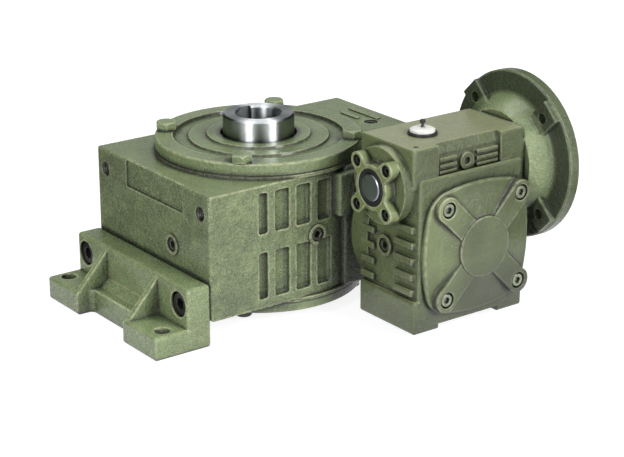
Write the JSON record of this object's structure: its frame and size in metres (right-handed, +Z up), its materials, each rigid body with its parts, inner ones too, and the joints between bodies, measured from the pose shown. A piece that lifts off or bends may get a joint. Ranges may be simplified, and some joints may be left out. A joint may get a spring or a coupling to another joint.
{
  "type": "worm gear reducer",
  "caption": "Worm gear reducer: a small worm stage with a round motor flange bolted to a large one with an upright hollow output shaft, a ribbed cast housing and foot brackets.",
  "frame": {"origin": "on the output shaft's axis, in the mid-plane of the output wheel", "axes": "+Z up along the output shaft, +X from the end block towards the second worm and the motor flange, -Y towards the first stage"},
  "size_m": [0.4073, 0.352, 0.2225],
  "materials": {
    "green_casting": "glossy grey-green paint over a rough casting",
    "turned_steel": "fine turned and polished",
    "ground_steel": "ground",
    "hub_iron": "machined casting",
    "wheel_bronze": "machined bronze",
    "bearing_steel": "polished",
    "screw_steel": "dark oxide",
    "painted_bolt": "steel bolt head painted with the casting",
    "plug_steel": "dull zinc",
    "seal_rubber": "matt",
    "breather_black": "matt",
    "breather_white": "satin"
  },
  "bodies": {
    "housing": {"bottom_bearing_outer_ring": "bearing_steel", "bottom_cover": "green_casting", "bottom_cover_screws": "screw_steel", "breather_base": "breather_black", "breather_cap": "breather_white", "breather_vent_pin": "breather_black", "drain_plug": "plug_steel", "drive_bearing_outer_ring": "bearing_steel", "filler_plug": "plug_steel", "first_stage_cover": "green_casting", "first_stage_cover_screws": "screw_steel", "first_stage_housing": "green_casting", "first_stage_plug": "plug_steel", "flange_screws": "screw_steel", "foot_bracket_left": "green_casting", "foot_bracket_right": "green_casting", "foot_bracket_screws": "screw_steel", "front_worm_bearing_outer_ring": "bearing_steel", "input_flange": "green_casting", "input_seal": "seal_rubber", "level_plug": "plug_steel", "main_housing": "green_casting", "output_seal_bottom": "seal_rubber", "output_seal_top": "seal_rubber", "rear_cover_screws": "screw_steel", "rear_worm_bearing_outer_ring": "bearing_steel", "rear_worm_cover": "green_casting", "stage_joint_screws": "screw_steel", "stage_seal": "seal_rubber", "tail_bearing_outer_ring": "bearing_steel", "tail_cover": "green_casting", "tail_cover_screws": "screw_steel", "tail_seal": "seal_rubber", "top_bearing_outer_ring": "bearing_steel", "top_cover": "green_casting", "top_cover_bolts": "painted_bolt"},
    "output": {"output_shaft": "turned_steel", "output_wheel_hub": "hub_iron", "output_wheel_rim": "wheel_bronze", "output_wheel_key": "ground_steel", "output_rim_screws": "screw_steel", "output_spacers": "ground_steel", "top_bearing_inner_ring": "bearing_steel", "top_bearing_balls": "bearing_steel", "bottom_bearing_inner_ring": "bearing_steel", "bottom_bearing_balls": "bearing_steel"},
    "intermediate": {"second_worm_shaft": "ground_steel", "first_stage_wheel": "wheel_bronze", "first_stage_wheel_key": "ground_steel", "wheel_circlip": "ground_steel", "rear_worm_bearing_inner_ring": "bearing_steel", "rear_worm_bearing_balls": "bearing_steel", "front_worm_bearing_inner_ring": "bearing_steel", "front_worm_bearing_balls": "bearing_steel"},
    "input": {"first_worm_shaft": "ground_steel", "tail_bearing_inner_ring": "bearing_steel", "tail_bearing_balls": "bearing_steel", "drive_bearing_inner_ring": "bearing_steel", "drive_bearing_balls": "bearing_steel"}
  },
  "joints": [
    {"name": "output_spin", "type": "hinge", "parent": "housing", "child": "output", "pos_m": [0, 0, 0], "axis": [0, 0, 1], "continuous": true},
    {"name": "intermediate_spin", "type": "hinge", "parent": "housing", "child": "intermediate", "pos_m": [0.1, 0, 0], "axis": [0, 1, 0], "continuous": true},
    {"name": "input_spin", "type": "hinge", "parent": "housing", "child": "input", "pos_m": [0.1, -0.16, 0.06], "axis": [1, 0, 0], "continuous": true}
  ],
  "couplings": [
    {"joint": "output_spin", "follows": "intermediate_spin", "ratio": -0.026316},
    {"joint": "input_spin", "follows": "intermediate_spin", "ratio": -30}
  ]
}
